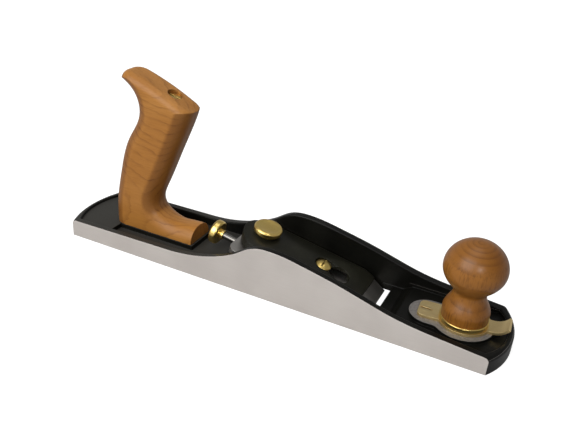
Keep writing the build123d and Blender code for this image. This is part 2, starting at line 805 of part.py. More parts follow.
# Tote: a grip rounded like a hand-shaped one, under a crest that is planed across from horn to nose.
# One long bolt and a dowel hold it to the casting.
tote_base = heel_floor
tote_front_x = tote_x + tote_base_length


def tote_point(along, up):
    """A point of the tote's side outline, by its shares of the base length and of the height."""
    return (tote_x + along * tote_base_length, tote_base + up * tote_height)


def standing_edges(block):
    """The straight edges of the crest block that run up to its ridge."""
    lines = block.edges().filter_by(GeomType.LINE).filter_by(Axis.Y, reverse=True)
    return lines.filter_by(lambda edge: edge.center().Z > tote_base)


with BuildPart() as crest_block:
    with BuildSketch(Plane.XZ.offset(-tote_width / 2)):
        with BuildLine():
            ridge = ThreePointArc(
                tote_point(0.135, 0.998),
                tote_point(0.47, 0.94),
                tote_point(0.962, 0.805),
            )
            Polyline(ridge @ 1, tote_point(1.2, -0.1), tote_point(-0.2, -0.1), ridge @ 0)
        make_face()
    extrude(amount=tote_width)
    fillet(standing_edges(crest_block).group_by(Axis.X)[0], horn_round)
    fillet(standing_edges(crest_block).group_by(Axis.X)[-1], nose_round)
    top = crest_block.faces().sort_by(Axis.Z)[-1]
    fillet(top.edges(), tote_edge)

with BuildPart() as tote:
    with BuildSketch(Plane.XZ.offset(-tote_width / 2)):
        with BuildLine():
            back = Spline(
                tote_point(0, -0.07),
                tote_point(0, 0.148),
                tote_point(0.058, 0.342),
                tote_point(0.183, 0.58),
                tote_point(0.316, 0.747),
                tote_point(0.292, 0.833),
                tote_point(0.213, 0.891),
                tote_point(0.12, 0.926),
                tote_point(-0.02, 0.975),
                tangents=((0, 1), (-1, 0.6)),
            )
            front = Spline(
                tote_point(0.957, 0.9),
                tote_point(0.896, 0.738),
                tote_point(0.757, 0.545),
                tote_point(0.577, 0.296),
                tote_point(0.53, 0.16),
                (tote_x + 0.7 * tote_base_length, tote_base + tote_foot_height),
                (tote_front_x, tote_base + tote_foot_height),
                tangents=((0, -1), (1, 0)),
            )
            lid = back @ 1 + Vector(0, 3 * tote_round)
            Polyline(back @ 1, lid, ((front @ 0).X, lid.Y), front @ 0)
            Polyline(front @ 1, (tote_front_x, tote_base - tote_round), back @ 0)
        make_face()
    extrude(amount=tote_width)
    fillet(tote.edges().filter_by(GeomType.BSPLINE), tote_round)
    add(crest_block.part, mode=Mode.INTERSECT)
    split(bisect_by=Plane.XY.offset(tote_base))
    with Locations(tote_bolt_plane.offset(-bolt_thread_depth)):
        Cylinder(tote_bolt_radius + bolt_room, tote_nut_top, align=STANDING, mode=Mode.SUBTRACT)
    with Locations(tote_bolt_plane.offset(tote_nut_top - tote_nut_length)):
        Cylinder(tote_nut_radius, tote_nut_length + tote_width, align=STANDING, mode=Mode.SUBTRACT)
    with Locations((tote_dowel_x, 0, tote_base)):
        Cylinder(tote_dowel_radius, dowel_length / 2, align=STANDING, mode=Mode.SUBTRACT)
tote.part.label = "tote"
export_step(tote.part, "parts/tote.step")

with BuildPart() as tote_bolt:
    with Locations(tote_bolt_plane.offset(-bolt_thread_depth)):
        Cylinder(tote_bolt_radius, bolt_thread_depth + tote_nut_top - tote_nut_wall, align=STANDING)
tote_bolt.part.label = "tote_bolt"
export_step(tote_bolt.part, "parts/tote_bolt.step")

with BuildPart() as tote_nut:
    with Locations(tote_bolt_plane.offset(tote_nut_top - tote_nut_length)):
        Cylinder(tote_nut_radius, tote_nut_length, align=STANDING)
        Cylinder(tote_bolt_radius, tote_nut_length - tote_nut_wall, align=STANDING, mode=Mode.SUBTRACT)
    with Locations(tote_bolt_plane.offset(tote_nut_top)):
        Box(slot_width, 2 * tote_nut_radius, slot_depth, align=SLOT_ALIGN, mode=Mode.SUBTRACT)
tote_nut.part.label = "tote_nut"
export_step(tote_nut.part, "parts/tote_nut.step")

with BuildPart() as tote_dowel:
    with Locations((tote_dowel_x, 0, tote_base - dowel_length / 2)):
        Cylinder(tote_dowel_radius, dowel_length, align=STANDING)
tote_dowel.part.label = "tote_dowel"
export_step(tote_dowel.part, "parts/tote_dowel.step")
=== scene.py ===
import json
import logging
import math
from dataclasses import dataclass, field, replace
from enum import Enum
from functools import cached_property

import bmesh
import bpy
from mathutils import Matrix, Vector
from mathutils.geometry import interpolate_bezier

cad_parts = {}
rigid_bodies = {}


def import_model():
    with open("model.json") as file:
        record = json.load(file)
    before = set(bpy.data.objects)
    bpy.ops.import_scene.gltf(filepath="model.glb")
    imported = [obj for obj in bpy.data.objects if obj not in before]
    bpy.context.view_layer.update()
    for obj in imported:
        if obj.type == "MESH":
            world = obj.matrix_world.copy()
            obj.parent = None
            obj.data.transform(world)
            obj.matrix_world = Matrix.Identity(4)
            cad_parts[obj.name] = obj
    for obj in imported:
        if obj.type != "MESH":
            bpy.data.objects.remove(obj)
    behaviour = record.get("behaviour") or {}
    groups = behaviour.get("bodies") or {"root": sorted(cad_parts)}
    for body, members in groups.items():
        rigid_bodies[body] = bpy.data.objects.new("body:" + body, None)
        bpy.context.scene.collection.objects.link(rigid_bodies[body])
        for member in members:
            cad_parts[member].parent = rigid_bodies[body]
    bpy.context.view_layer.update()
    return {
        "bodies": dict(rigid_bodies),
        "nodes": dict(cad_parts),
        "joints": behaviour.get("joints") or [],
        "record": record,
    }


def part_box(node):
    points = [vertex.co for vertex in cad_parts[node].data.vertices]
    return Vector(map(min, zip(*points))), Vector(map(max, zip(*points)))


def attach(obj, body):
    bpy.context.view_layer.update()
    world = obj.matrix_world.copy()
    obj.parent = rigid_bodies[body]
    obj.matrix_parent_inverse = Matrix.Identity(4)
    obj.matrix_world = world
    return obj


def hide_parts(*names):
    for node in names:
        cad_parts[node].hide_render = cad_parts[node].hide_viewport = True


LOG = logging.getLogger("jack_plane")
MM = 0.001
ON_AXIS = 0.001 * MM
RECESS_SAMPLES = 8
EDGE_SAMPLES = 6
NOISE_MEAN = 0.5

Colour = tuple[float, float, float]
Point = tuple[float, float, float]
Span = tuple[float, float]
Pair = tuple[float, float]

ORIGIN: Point = (0.0, 0.0, 0.0)
UP: Point = (0.0, 0.0, 1.0)
WHITE: Colour = (1.0, 1.0, 1.0)


class Grain(Enum):
    """Which way the fibres of a piece of wood run."""

    LENGTHWISE = (1.0, 0.0, 0.0)
    UPRIGHT = UP


class Lay(Enum):
    """Which way the marks of the last cut run on a metal face."""

    STRAIGHT = "strokes along the plane"
    TURNED = "rings about an axis"


class Wire:
    """One shader value, which Python's operators can act on."""

    def __init__(self, nodes: "Nodes", socket: bpy.types.NodeSocket) -> None:
        """Wraps one output socket of a node tree under construction."""
        self.nodes = nodes
        self.socket = socket

    def _math(self, operation: str, *values: "Wire | float") -> "Wire":
        """Adds one Math node.

        Args:
            operation: the node's operation.
            values: its first sockets, in order.

        Returns:
            The node's result.
        """
        return self.nodes.add("ShaderNodeMath", {"operation": operation}, dict(enumerate(values)))

    def __add__(self, other: "Wire | float") -> "Wire":
        """The sum."""
        return self._math("ADD", self, other)

    def __radd__(self, other: float) -> "Wire":
        """The sum, with a number in front."""
        return self._math("ADD", other, self)

    def __sub__(self, other: "Wire | float") -> "Wire":
        """The difference."""
        return self._math("SUBTRACT", self, other)

    def __rsub__(self, other: float) -> "Wire":
        """The difference, with a number in front."""
        return self._math("SUBTRACT", other, self)

    def __mul__(self, other: "Wire | float") -> "Wire":
        """The product."""
        return self._math("MULTIPLY", self, other)

    def __rmul__(self, other: float) -> "Wire":
        """The product, with a number in front."""
        return self._math("MULTIPLY", other, self)

    def __truediv__(self, other: "Wire | float") -> "Wire":
        """The quotient."""
        return self._math("DIVIDE", self, other)

    def __rtruediv__(self, other: float) -> "Wire":
        """The quotient, with a number in front."""
        return self._math("DIVIDE", other, self)

    def __pow__(self, other: "Wire | float") -> "Wire":
        """The power."""
        return self._math("POWER", self, other)

    def __rpow__(self, other: float) -> "Wire":
        """The power, with a number in front."""
        return self._math("POWER", other, self)

    def __gt__(self, other: "Wire | float") -> "Wire":
        """One where this value is above the other, and zero elsewhere."""
        return self._math("GREATER_THAN", self, other)

    def __lt__(self, other: "Wire | float") -> "Wire":
        """One where this value is below the other, which also serves a number in front of >."""
        return self._math("LESS_THAN", self, other)

    def __abs__(self) -> "Wire":
        """The size without its sign."""
        return self._math("ABSOLUTE", self)

    def most(self, other: "Wire | float") -> "Wire":
        """The larger of the two."""
        return self._math("MAXIMUM", self, other)

    def least(self, other: "Wire | float") -> "Wire":
        """The smaller of the two."""
        return self._math("MINIMUM", self, other)

    def fraction(self) -> "Wire":
        """What is left of this value over a whole number."""
        return self._math("FRACT", self)

    def ramp(self, low: float, high: float) -> "Wire":
        """A smooth rise from zero at low to one at high.

        Args:
            low: the value at which the rise starts.
            high: the value at which it ends.

        Returns:
            The rise, between zero and one.
        """
        values = {"Value": self, "From Min": low, "From Max": high}
        return self.nodes.add("ShaderNodeMapRange", {"interpolation_type": "SMOOTHSTEP"}, values, "Result")

    def beside(self, result: str) -> "Wire":
        """Another output of the node that this value comes from."""
        return Wire(self.nodes, self.socket.node.outputs[result])


class Nodes:
    """A node tree under construction, around the shader and the output that it starts with."""

    def __init__(self, tree: bpy.types.NodeTree) -> None:
        """Finds the tree's output and the shader that is linked to it.

        Args:
            tree: a new material's or world's nodes.
        """
        self.tree = tree
        self.output = next(node for node in tree.nodes if node.bl_idname.startswith("ShaderNodeOutput"))
        self.shader = self.output.inputs["Surface"].links[0].from_node

    def add(
        self,
        kind: str,
        settings: dict[str, object] | None = None,
        values: dict[str | int, object] | None = None,
        result: str | int = 0,
    ) -> Wire:
        """Adds any node.

        Args:
            kind: the node's type.
            settings: its properties, set before its sockets.
            values: its sockets by name or place, each a number, a vector, a colour or a link.
            result: the output that is returned.

        Returns:
            One output of the node.
        """
        node = self.tree.nodes.new(kind)
        for key, value in (settings or {}).items():
            setattr(node, key, value)
        for key, value in (values or {}).items():
            self.feed(node.inputs[key], value)
        return Wire(self, node.outputs[result])

    def feed(self, socket: bpy.types.NodeSocket, value: "Wire | Point | float") -> None:
        """Links or sets one socket.

        Args:
            socket: the socket.
            value: a number, a vector, a colour or a link.
        """
        if isinstance(value, Wire):
            self.tree.links.new(value.socket, socket)
        else:
            socket.default_value = (*value, 1.0) if socket.type == "RGBA" else value

    def set(self, socket: str, value: "Wire | Colour | float") -> None:
        """Links or sets one socket of the shader, by its name."""
        self.feed(self.shader.inputs[socket], value)

    def backdrop_rays(self) -> tuple[Wire, Wire]:
        """Tells apart the rays that show the background.

        Returns:
            One for rays that see it from the camera or through glass, and one for mirrored rays.
        """
        camera = self.add("ShaderNodeLightPath", result="Is Camera Ray")
        return camera.most(camera.beside("Is Transmission Ray")), camera.beside("Is Glossy Ray")


class Finish(Nodes):
    """A material under construction."""

    def __init__(self, name: str) -> None:
        """Starts a material with one shader.

        Args:
            name: the material's name.
        """
        self.material = bpy.data.materials.new(name)
        self.material.use_nodes = True
        super().__init__(self.material.node_tree)

    @cached_property
    def place(self) -> Wire:
        """The point's place in the plane's own frame, in metres."""
        return self.add("ShaderNodeTexCoord", result="Object")

    @cached_property
    def axes(self) -> tuple[Wire, Wire, Wire]:
        """The point's three coordinates in the plane's own frame, in metres."""
        x = self.add("ShaderNodeSeparateXYZ", values={0: self.place})
        return x, x.beside("Y"), x.beside("Z")

    def facing(self, way: Point) -> Wire:
        """How squarely the surface faces a way, from minus one to one."""
        return self.vector("DOT_PRODUCT", self.place.beside("Normal"), way, result="Value")

    def along(self, forward: Point, start: Point = ORIGIN) -> Wire:
        """How far the point lies along a line.

        Args:
            forward: the line's direction, as a unit vector.
            start: the point of the line to measure from.

        Returns:
            The distance in metres, negative behind the start.
        """
        away = self.vector("SUBTRACT", self.place, start)
        return self.vector("DOT_PRODUCT", away, forward, result="Value")

    def off_axis(self, axis: Point, centre: Point) -> Wire:
        """How far the point lies from a line.

        Args:
            axis: the line's direction, as a unit vector.
            centre: any point of the line.

        Returns:
            The distance in metres.
        """
        away = self.vector("SUBTRACT", self.place, centre)
        square = self.vector("SUBTRACT", away, self.vector("PROJECT", away, axis))
        return self.vector("LENGTH", square, result="Value")

    def laid(self, forward: Point, along: float, across: float) -> Wire:
        """Coordinates for a texture that runs one way.

        Args:
            forward: the way it runs, as a unit vector.
            along: how many grains to a metre that way.
            across: how many to a metre square to it.

        Returns:
            The coordinates.
        """
        values = {0: forward, "Scale": self.along(forward) * (along - across)}
        drawn = self.add("ShaderNodeVectorMath", {"operation": "SCALE"}, values)
        return self.vector("MULTIPLY_ADD", self.place, (across, across, across), drawn)

    def turned(self, axis: Point, centre: Point, scale: float) -> Wire:
        """Coordinates that are the same all the way round an axis, as a lathe's marks are.

        Args:
            axis: the axis, as a unit vector.
            centre: any point of it.
            scale: how many grains to a metre.

        Returns:
            The coordinates.
        """
        across = self.off_axis(axis, centre) * scale
        return self.add("ShaderNodeCombineXYZ", values={"X": across, "Y": self.along(axis, centre) * scale})

    def vector(self, operation: str, *values: Wire | Point, result: str | int = 0) -> Wire:
        """Adds one Vector Math node.

        Args:
            operation: the node's operation.
            values: its first sockets, in order.
            result: the output that is returned.

        Returns:
            One output of the node.
        """
        return self.add("ShaderNodeVectorMath", {"operation": operation}, dict(enumerate(values)), result)

    def recess(self, reach: float, open_share: Span) -> Wire:
        """One deep in a slot or corner of the piece itself, zero in the open.

        Args:
            reach: how near a wall counts, in metres.
            open_share: the open shares at which a point is all recess and none.

        Returns:
            How much of a recess the point is.
        """
        settings = {"samples": RECESS_SAMPLES, "only_local": True}
        openness = self.add("ShaderNodeAmbientOcclusion", settings, {"Distance": reach}, "AO")
        return 1 - openness.ramp(*open_share)

    def noise(self, where: Wire, detail: float, rough: float, scale: float = 1.0) -> Wire:
        """Soft noise between about zero and one.

        Args:
            where: the coordinates.
            detail: how many finer layers are added.
            rough: how strong the finer layers are.
            scale: how many grains to a unit of the coordinates.

        Returns:
            The noise.
        """
        values = {"Vector": where, "Scale": scale, "Detail": detail, "Roughness": rough}
        return self.add("ShaderNodeTexNoise", {"noise_dimensions": "3D"}, values, "Fac")

    def mix(self, share: Wire, first: Wire | Colour, second: Wire | Colour) -> Wire:
        """A colour between two.

        Args:
            share: zero gives the first and one gives the second.
            first: one colour.
            second: the other.

        Returns:
            The mixed colour.
        """
        return self.add("ShaderNodeMix", {"data_type": "RGBA"}, {0: share, 6: first, 7: second}, 2)

    def bump(self, height: Wire, depth: float, strength: float, rounding: float) -> None:
        """Sets the shader's normal from a height, over edges that are broken as real ones are.

        Args:
            height: the height, in units of depth.
            depth: how deep one unit is, in metres.
            strength: how much of it shows.
            rounding: the radius of the broken edges, in metres.
        """
        edges = self.add("ShaderNodeBevel", {"samples": EDGE_SAMPLES}, {"Radius": rounding}, "Normal")
        values = {"Height": height, "Distance": depth, "Strength": strength, "Normal": edges}
        self.set("Normal", self.add("ShaderNodeBump", values=values, result="Normal"))


@dataclass(frozen=True)
class Mottle:
    """Soft noise that is even all ways, in grains to a metre."""

    scale: float
    detail: float = 3.0
    rough: float = 0.5

    def over(self, finish: Finish) -> Wire:
        """The noise over a surface, between about zero and one."""
        return finish.noise(finish.place, self.detail, self.rough, self.scale)


@dataclass(frozen=True)
class Streaks:
    """Soft noise that is drawn out one way, in grains to a metre along and across."""

    along: float
    across: float
    detail: float = 2.0
    rough: float = 0.5

    def over(self, finish: Finish, way: Point) -> Wire:
        """The noise over a surface.

        Args:
            finish: the material that takes it.
            way: the way it is drawn out, as a unit vector.

        Returns:
            The noise, between about zero and one.
        """
        return finish.noise(finish.laid(way, self.along, self.across), self.detail, self.rough)


@dataclass(frozen=True)
class Cut:
    """How a metal face was last cut: which way the marks run, and how fine they are."""

    lay: Lay = Lay.STRAIGHT
    axis: Point = (1.0, 0.0, 0.0)
    centre: Point = ORIGIN
    fineness: float = 2600.0
    stretch: float = 0.025
    detail: float = 3.0
    rough: float = 0.6

    def marks(self, finish: Finish) -> Wire:
        """The marks over a surface.

        Args:
            finish: the material that takes them.

        Returns:
            Their height, between about zero and one.
        """
        if self.lay is Lay.TURNED:
            where = finish.turned(self.axis, self.centre, self.fineness)
        else:
            where = finish.laid(self.axis, self.stretch * self.fineness, self.fineness)
        return finish.noise(where, self.detail, self.rough)


@dataclass(frozen=True)
class BlackPaint:
    """Satin black enamel on cast iron."""

    colour: Colour = (0.0035, 0.0034, 0.0026)
    bloom: Colour = (0.008, 0.0077, 0.0058)
    roughness: float = 0.34
    gloss: float = 0.20
    cloud: Mottle = Mottle(45.0)
    sand: Mottle = Mottle(170.0, detail=2.0)
    peel: Mottle = Mottle(900.0, rough=0.6)
    bloom_rise: Span = (0.35, 0.75)
    cloud_bloom: float = 0.7
    peel_bloom: float = 0.3
    cloud_roughness: float = 0.14
    peel_roughness: float = 0.1
    peel_height: float = 0.55
    sand_height: float = 0.8
    depth: float = 0.04 * MM
    relief: float = 0.6
    rounding: float = 0.9 * MM

    def lay(self, finish: Finish) -> tuple[Wire, Wire, Wire]:
        """Works out the paint over a surface.

        Args:
            finish: the material that takes it.

        Returns:
            Its colour, roughness and height.
        """
        cloud = self.cloud.over(finish)
        sand = self.sand.over(finish)
        peel = self.peel.over(finish)
        bloom = (self.cloud_bloom * cloud + self.peel_bloom * peel).ramp(*self.bloom_rise)
        uneven = self.cloud_roughness * (cloud - NOISE_MEAN) + self.peel_roughness * (peel - NOISE_MEAN)
        height = self.peel_height * peel + self.sand_height * sand
        return finish.mix(bloom, self.colour, self.bloom), self.roughness + uneven, height

    def build(self, name: str) -> bpy.types.Material:
        """Makes the paint as a material of its own.

        Args:
            name: the material's name.

        Returns:
            The material.
        """
        finish = Finish(name)
        colour, roughness, height = self.lay(finish)
        finish.set("Base Color", colour)
        finish.set("Roughness", roughness)
        finish.set("Specular IOR Level", self.gloss)
        finish.bump(height, self.depth, self.relief, self.rounding)
        return finish.material


@dataclass(frozen=True)
class Metal:
    """Bare metal with the marks of its last cut, a soft mottle and painted shade in its recesses."""

    colour: Colour = (0.50, 0.49, 0.47)
    shade: Colour = (0.36, 0.35, 0.34)
    # The colour of the painted shade that darkens the recesses.
    recess_shade: Colour = (0.05, 0.045, 0.04)
    metallic: float = 1.0
    roughness: float = 0.30
    mottle: Mottle = Mottle(60.0)
    mottle_share: float = 0.75
    marks_share: float = 0.35
    colour_rise: Span = (0.35, 0.8)
    mottle_roughness: float = 0.10
    marks_roughness: float = 0.06
    # How strongly the recesses are darkened as painted shade, and how near a wall that reaches.
    recess_shading: float = 0.0
    recess_shade_reach: float = 1.5 * MM
    recess_shade_open: Span = (0.35, 0.85)
    recess_shade_roughness: float = 0.2
    depth: float = 0.005 * MM
    relief: float = 0.4
    rounding: float = 0.3 * MM
    cut: Cut = Cut()

    def lay(self, finish: Finish) -> tuple[Wire, Wire, Wire]:
        """Works out the metal over a surface.

        Args:
            finish: the material that takes it.

        Returns:
            Its colour, roughness and height.
        """
        marks = self.cut.marks(finish)
        cloud = self.mottle.over(finish)
        bright = (self.marks_share * marks + self.mottle_share * cloud).ramp(*self.colour_rise)
        uneven = self.marks_roughness * (marks - NOISE_MEAN) + self.mottle_roughness * (cloud - NOISE_MEAN)
        return finish.mix(bright, self.shade, self.colour), self.roughness + uneven, marks

    def build(self, name: str) -> bpy.types.Material:
        """Makes the metal as a material of its own.

        Args:
            name: the material's name.

        Returns:
            The material.
        """
        finish = Finish(name)
        colour, roughness, marks = self.lay(finish)
        # Painted shade: where ambient occlusion finds a recess, the colour darkens and the roughness rises.
        if self.recess_shading:
            recess = self.recess_shading * finish.recess(self.recess_shade_reach, self.recess_shade_open)
            colour = finish.mix(recess, colour, self.recess_shade)
            roughness = roughness + self.recess_shade_roughness * recess
        finish.set("Base Color", colour)
        finish.set("Metallic", self.metallic)
        finish.set("Roughness", roughness)
        finish.bump(marks, self.depth, self.relief, self.rounding)
        return finish.material


@dataclass(frozen=True)
class GroundIron(Metal):
    """Bare iron from the surface grinder, with fine strokes along the plane."""

    colour: Colour = (0.66, 0.615, 0.575)
    shade: Colour = (0.58, 0.535, 0.50)
    metallic: float = 0.55
    roughness: float = 0.48
    mottle: Mottle = Mottle(24.0)


@dataclass(frozen=True)
class Brass(Metal):
    """Machined brass, left satin."""

    colour: Colour = (0.94, 0.70, 0.235)
    shade: Colour = (0.83, 0.59, 0.18)
    # The brass's colour of painted shade in its recesses.
    recess_shade: Colour = (0.07, 0.04, 0.015)
    mottle: Mottle = Mottle(90.0)
    depth: float = 0.002 * MM


@dataclass(frozen=True)
class PaintedIron:
    """Cast iron in black enamel, with the faces that were ground afterwards left bare."""

    paint: BlackPaint = BlackPaint(gloss=0.14)
    iron: GroundIron = GroundIron()
    half_width: float = 33.5 * MM
    edge: Span = (0.012 * MM, 0.06 * MM)
    pad_top: float = 11.5 * MM
    pad_edge: Span = (0.03 * MM, 0.12 * MM)
    pad_rear: float = 95.0 * MM
    # How much of the knob's pad shows bare iron: kept low for a duller milled face and as painted shade.
    pad_bare_share: float = 0.21
    pad_patch_share: float = 0.09
    patches: Mottle = Mottle(520.0)
    patch_rise: Span = (0.30, 0.65)
    # Dust and painted sheen: a lighter colour for up-facing paint towards the heel.
    dust_and_sheen: Colour = (0.036, 0.0345, 0.030)
    dust_and_sheen_facing: Span = (0.8, 1.0)
    dust_and_sheen_end: Span = (-50.0 * MM, -10.0 * MM)
    stroke_height: float = 0.2

    def _sole(self, finish: Finish) -> Wire:
        """One on the ground sole, and zero above it."""
        return 1 - finish.axes[2].ramp(*self.edge)

    def _bare(self, finish: Finish) -> Wire:
        """Where the iron is bare: the sole, the two sides and, in part, the knob's pad.

        Args:
            finish: the material that takes it.

        Returns:
            One on bare iron and zero on paint.
        """
        x, y, z = finish.axes
        inner, outer = self.edge
        side = abs(y).ramp(self.half_width - outer, self.half_width - inner)
        level = 1 - abs(z - self.pad_top).ramp(*self.pad_edge)
        # The knob's pad is only partly bare, in random patches, so it comes out darker than ground iron: a
        # duller machined face and painted shade.
        pad_share = self.pad_bare_share + self.pad_patch_share * self.patches.over(finish).ramp(*self.patch_rise)
        return side.most(self._sole(finish)).most(pad_share * level * (x > self.pad_rear))

    def build(self, name: str) -> bpy.types.Material:
        """Makes the casting's material.

        Args:
            name: the material's name.

        Returns:
            The material.
        """
        finish = Finish(name)
        bare = self._bare(finish)
        black, satin, height = self.paint.lay(finish)
        # Dust and painted sheen: up-facing paint behind the bed, towards the heel, is lightened.
        dust_and_sheen_share = finish.facing(UP).ramp(*self.dust_and_sheen_facing) * (1 - finish.axes[0].ramp(*self.dust_and_sheen_end))
        black = finish.mix(dust_and_sheen_share, black, self.dust_and_sheen)
        bright, ground, strokes = self.iron.lay(finish)
        finish.set("Base Color", finish.mix(bare, black, bright))
        finish.set("Metallic", self.iron.metallic * bare)
        finish.set("Roughness", satin * (1 - bare) + ground * bare)
        finish.set("Specular IOR Level", self.paint.gloss)
        height = height * (1 - bare) + self.stroke_height * strokes * bare
        finish.bump(height, self.paint.depth, self.paint.relief, self.paint.rounding)
        return finish.material


@dataclass(frozen=True)
class PlateIron(PaintedIron):
    """The toe plate: black above, with its sole ground in line with the casting's."""

    def _bare(self, finish: Finish) -> Wire:
        """One on the plate's sole, which alone is bare, and zero on paint."""
        return self._sole(finish)


@dataclass(frozen=True)
class Cherry:
    """Oiled cherry: rings about a far pith, fine fibres, short dark flecks, and dark end grain deepened with
    painted shade.
    """

    pale: Colour = (0.42, 0.185, 0.040)
    mid: Colour = (0.35, 0.143, 0.026)
    deep: Colour = (0.12, 0.038, 0.006)
    grain: Grain = Grain.LENGTHWISE
    pith: Point = (-0.110, 0.055, 0.031)
    lean: Point = (0.9659, 0.2536, 0.0504)
    ring: float = 4.6 * MM
    sway: float = 1.9
    ripple: float = 0.7
    figure: float = 0.36
    crispness: float = 4.0
    fleck: float = 0.14
    # End grain and painted shade: faces that look along the grain are darkened, on the tote's front further
    # than end grain alone would be.
    end_grain_and_shade: float = 0.50
    end_grain_and_shade_rise: Span = (0.05, 0.30)
    crest_spared: float = 0.7
    roughness: float = 0.40
    gloss: float = 0.28
    rounding: float = 0.8 * MM
    sway_streaks: Streaks = Streaks(14.0, 34.0)
    ripple_streaks: Streaks = Streaks(90.0, 170.0, detail=3.0)
    late_rise: Span = (0.30, 0.95)
    late_fall: Span = (0.95, 1.0)
    broken: Mottle = Mottle(60.0)
    broken_rise: Span = (0.40, 0.62)
    faintest: float = 0.18
    cloud: Streaks = Streaks(16.0, 40.0)
    cloud_rise: Span = (0.3, 0.72)
    fibre: Streaks = Streaks(60.0, 1400.0, detail=4.0, rough=0.65)
    fibre_shade: float = 0.30
    fibre_mean: float = 0.35
    fibre_roughness: float = 0.14
    fibre_height: float = 0.6
    fleck_streaks: Streaks = Streaks(80.0, 1050.0)
    fleck_rise: Span = (0.46, 0.72)
    fleck_roughness: float = 0.1
    fleck_height: float = -0.5
    depth: float = 0.05 * MM
    relief: float = 0.35

    def _rings(self, finish: Finish) -> Wire:
        """The dark lines where each year's growth ends.

        Args:
            finish: the material that takes them.

        Returns:
            How dark the late wood is, between zero and one.
        """
        sway = self.sway * self.sway_streaks.over(finish, self.grain.value)
        ripple = self.ripple * self.ripple_streaks.over(finish, self.grain.value)
        year = (finish.off_axis(self.lean, self.pith) / self.ring + sway + ripple).fraction()
        line = year.ramp(*self.late_rise) ** self.crispness * (1 - year.ramp(*self.late_fall))
        strength = self.broken.over(finish).ramp(*self.broken_rise)
        return line * (self.faintest + (1 - self.faintest) * strength)

    def _end_grain_and_shade(self, finish: Finish) -> Wire:
        """Where the fibres are cut across, between zero and one, with the crest spared; the darkening there
        is end grain and painted shade.
        """
        crest = self.crest_spared * finish.facing(UP).most(0.0)
        return (abs(finish.facing(self.grain.value)) - crest).ramp(*self.end_grain_and_shade_rise)

    def build(self, name: str) -> bpy.types.Material:
        """Makes the wood.

        Args:
            name: the material's name.

        Returns:
            The material.
        """
        finish = Finish(name)
        way = self.grain.value
        late = self._rings(finish)
        across = self._end_grain_and_shade(finish)
        fibre = self.fibre.over(finish, way)
        fleck = self.fleck_streaks.over(finish, way).ramp(*self.fleck_rise) * (1 - across)
        body = finish.mix(self.cloud.over(finish, way).ramp(*self.cloud_rise), self.pale, self.mid)
        dark = self.figure * late + self.fibre_shade * (fibre - self.fibre_mean)
        # End grain and painted shade darken the faces that look along the grain.
        dark = (dark + self.fleck * fleck + self.end_grain_and_shade * across).most(0.0).least(1.0)
        finish.set("Base Color", finish.mix(dark, body, self.deep))
        uneven = self.fibre_roughness * (fibre - NOISE_MEAN) + self.fleck_roughness * fleck
        finish.set("Roughness", self.roughness + uneven)
        finish.set("Specular IOR Level", self.gloss)
        height = self.fibre_height * fibre + self.fleck_height * fleck
        finish.bump(height, self.depth, self.relief, self.rounding)
        return finish.material


@dataclass(frozen=True)
class TurnedCherry(Cherry):
    """Darker cherry turned on end, with its rings close about the knob's axis."""

    pale: Colour = (0.29, 0.114, 0.018)
    mid: Colour = (0.215, 0.078, 0.010)
    deep: Colour = (0.075, 0.022, 0.003)
    grain: Grain = Grain.UPRIGHT
    lean: Point = UP
    ring: float = 3.4 * MM
    sway: float = 0.25
    ripple: float = 0.08
    figure: float = 0.30
    crispness: float = 1.5
    fleck: float = 0.42
    # On the knob the end grain is its crown, darkened as end grain and painted shade.
    end_grain_and_shade: float = 0.24
    end_grain_and_shade_rise: Span = (0.12, 0.75)
    crest_spared: float = 0.0
    roughness: float = 0.33
    gloss: float = 0.32


@dataclass
class PartDresser:
    """What the sub-assemblies share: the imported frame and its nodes."""

    frame: dict

    def dress(self, node: str, material: bpy.types.Material) -> None:
        """Gives one CAD node its material.

        Args:
            node: the node's name.
            material: the material for the whole node.
        """
        piece = self.frame["nodes"][node]
        for slot in piece.material_slots:
            slot.material = material
        if not piece.material_slots:
            piece.data.materials.append(material)
        LOG.info("dressed %s with %s", node, material.name)

    def lathe(self, joint: str) -> Cut:
        """The lathe's marks on a piece that turns on a hinge.

        Args:
            joint: the hinge's name.

        Returns:
            Marks about the hinge's own axis.
        """
        hinge = next(each for each in self.frame["joints"] if each["name"] == joint)
        return Cut(Lay.TURNED, tuple(hinge["axis"]), tuple(hinge["pos_m"]))

    @staticmethod
    def turn(
        name: str, section: list[Pair], place: Matrix, steps: int, crease: float = 35.0
    ) -> bpy.types.Object:
        """Spins a half section about an axis.

        Args:
            name: the piece's name.
            section: the radius and height of each of its points.
            place: where the axis stands.
            steps: how many facets go round.
            crease: the angle in degrees from which an edge is sharp.

        Returns:
            The turned piece, in the scene.
        """
        angles = [2 * math.pi * step / steps for step in range(steps)]
        points: list[Point] = []
        rings: list[range] = []
        for radius, height in section:
            around = angles if radius > ON_AXIS else angles[:1]
            rings.append(range(len(points), len(points) + len(around)))
            points += [(radius * math.cos(angle), radius * math.sin(angle), height) for angle in around]
        faces = []
        for first, second in zip(rings, rings[1:]):
            for step in range(steps):
                # A ring on the axis is one point, so a face there has three corners.
                corners = ((first, step), (first, step + 1), (second, step + 1), (second, step))
                faces.append(tuple(dict.fromkeys(ring[index % len(ring)] for ring, index in corners)))
        mesh = bpy.data.meshes.new(name)
        mesh.from_pydata(points, [], faces)
        mesh.transform(place)
        mesh.shade_smooth()
        mesh.set_sharp_from_angle(angle=math.radians(crease))
        piece = bpy.data.objects.new(name, mesh)
        bpy.context.scene.collection.objects.link(piece)
        return piece

    def stand_in(self, piece: bpy.types.Object, body: str, node: str, slot: str) -> None:
        """Puts a piece with its material in the place of a CAD node, which gets the same material.

        Args:
            piece: the piece, already in the scene.
            body: the body it rides on.
            node: the node it stands for.
            slot: the record's material slot of its finish; not used.
        """
        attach(piece, body)
        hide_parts(node)
        LOG.info("made %s in place of %s", piece.name, node)
        self.dress(node, piece.data.materials[0])


@dataclass
class Body(PartDresser):
    """The casting."""

    def build(self) -> None:
        """Dresses the casting."""
        self.dress("body_casting", PaintedIron().build("body_iron"))


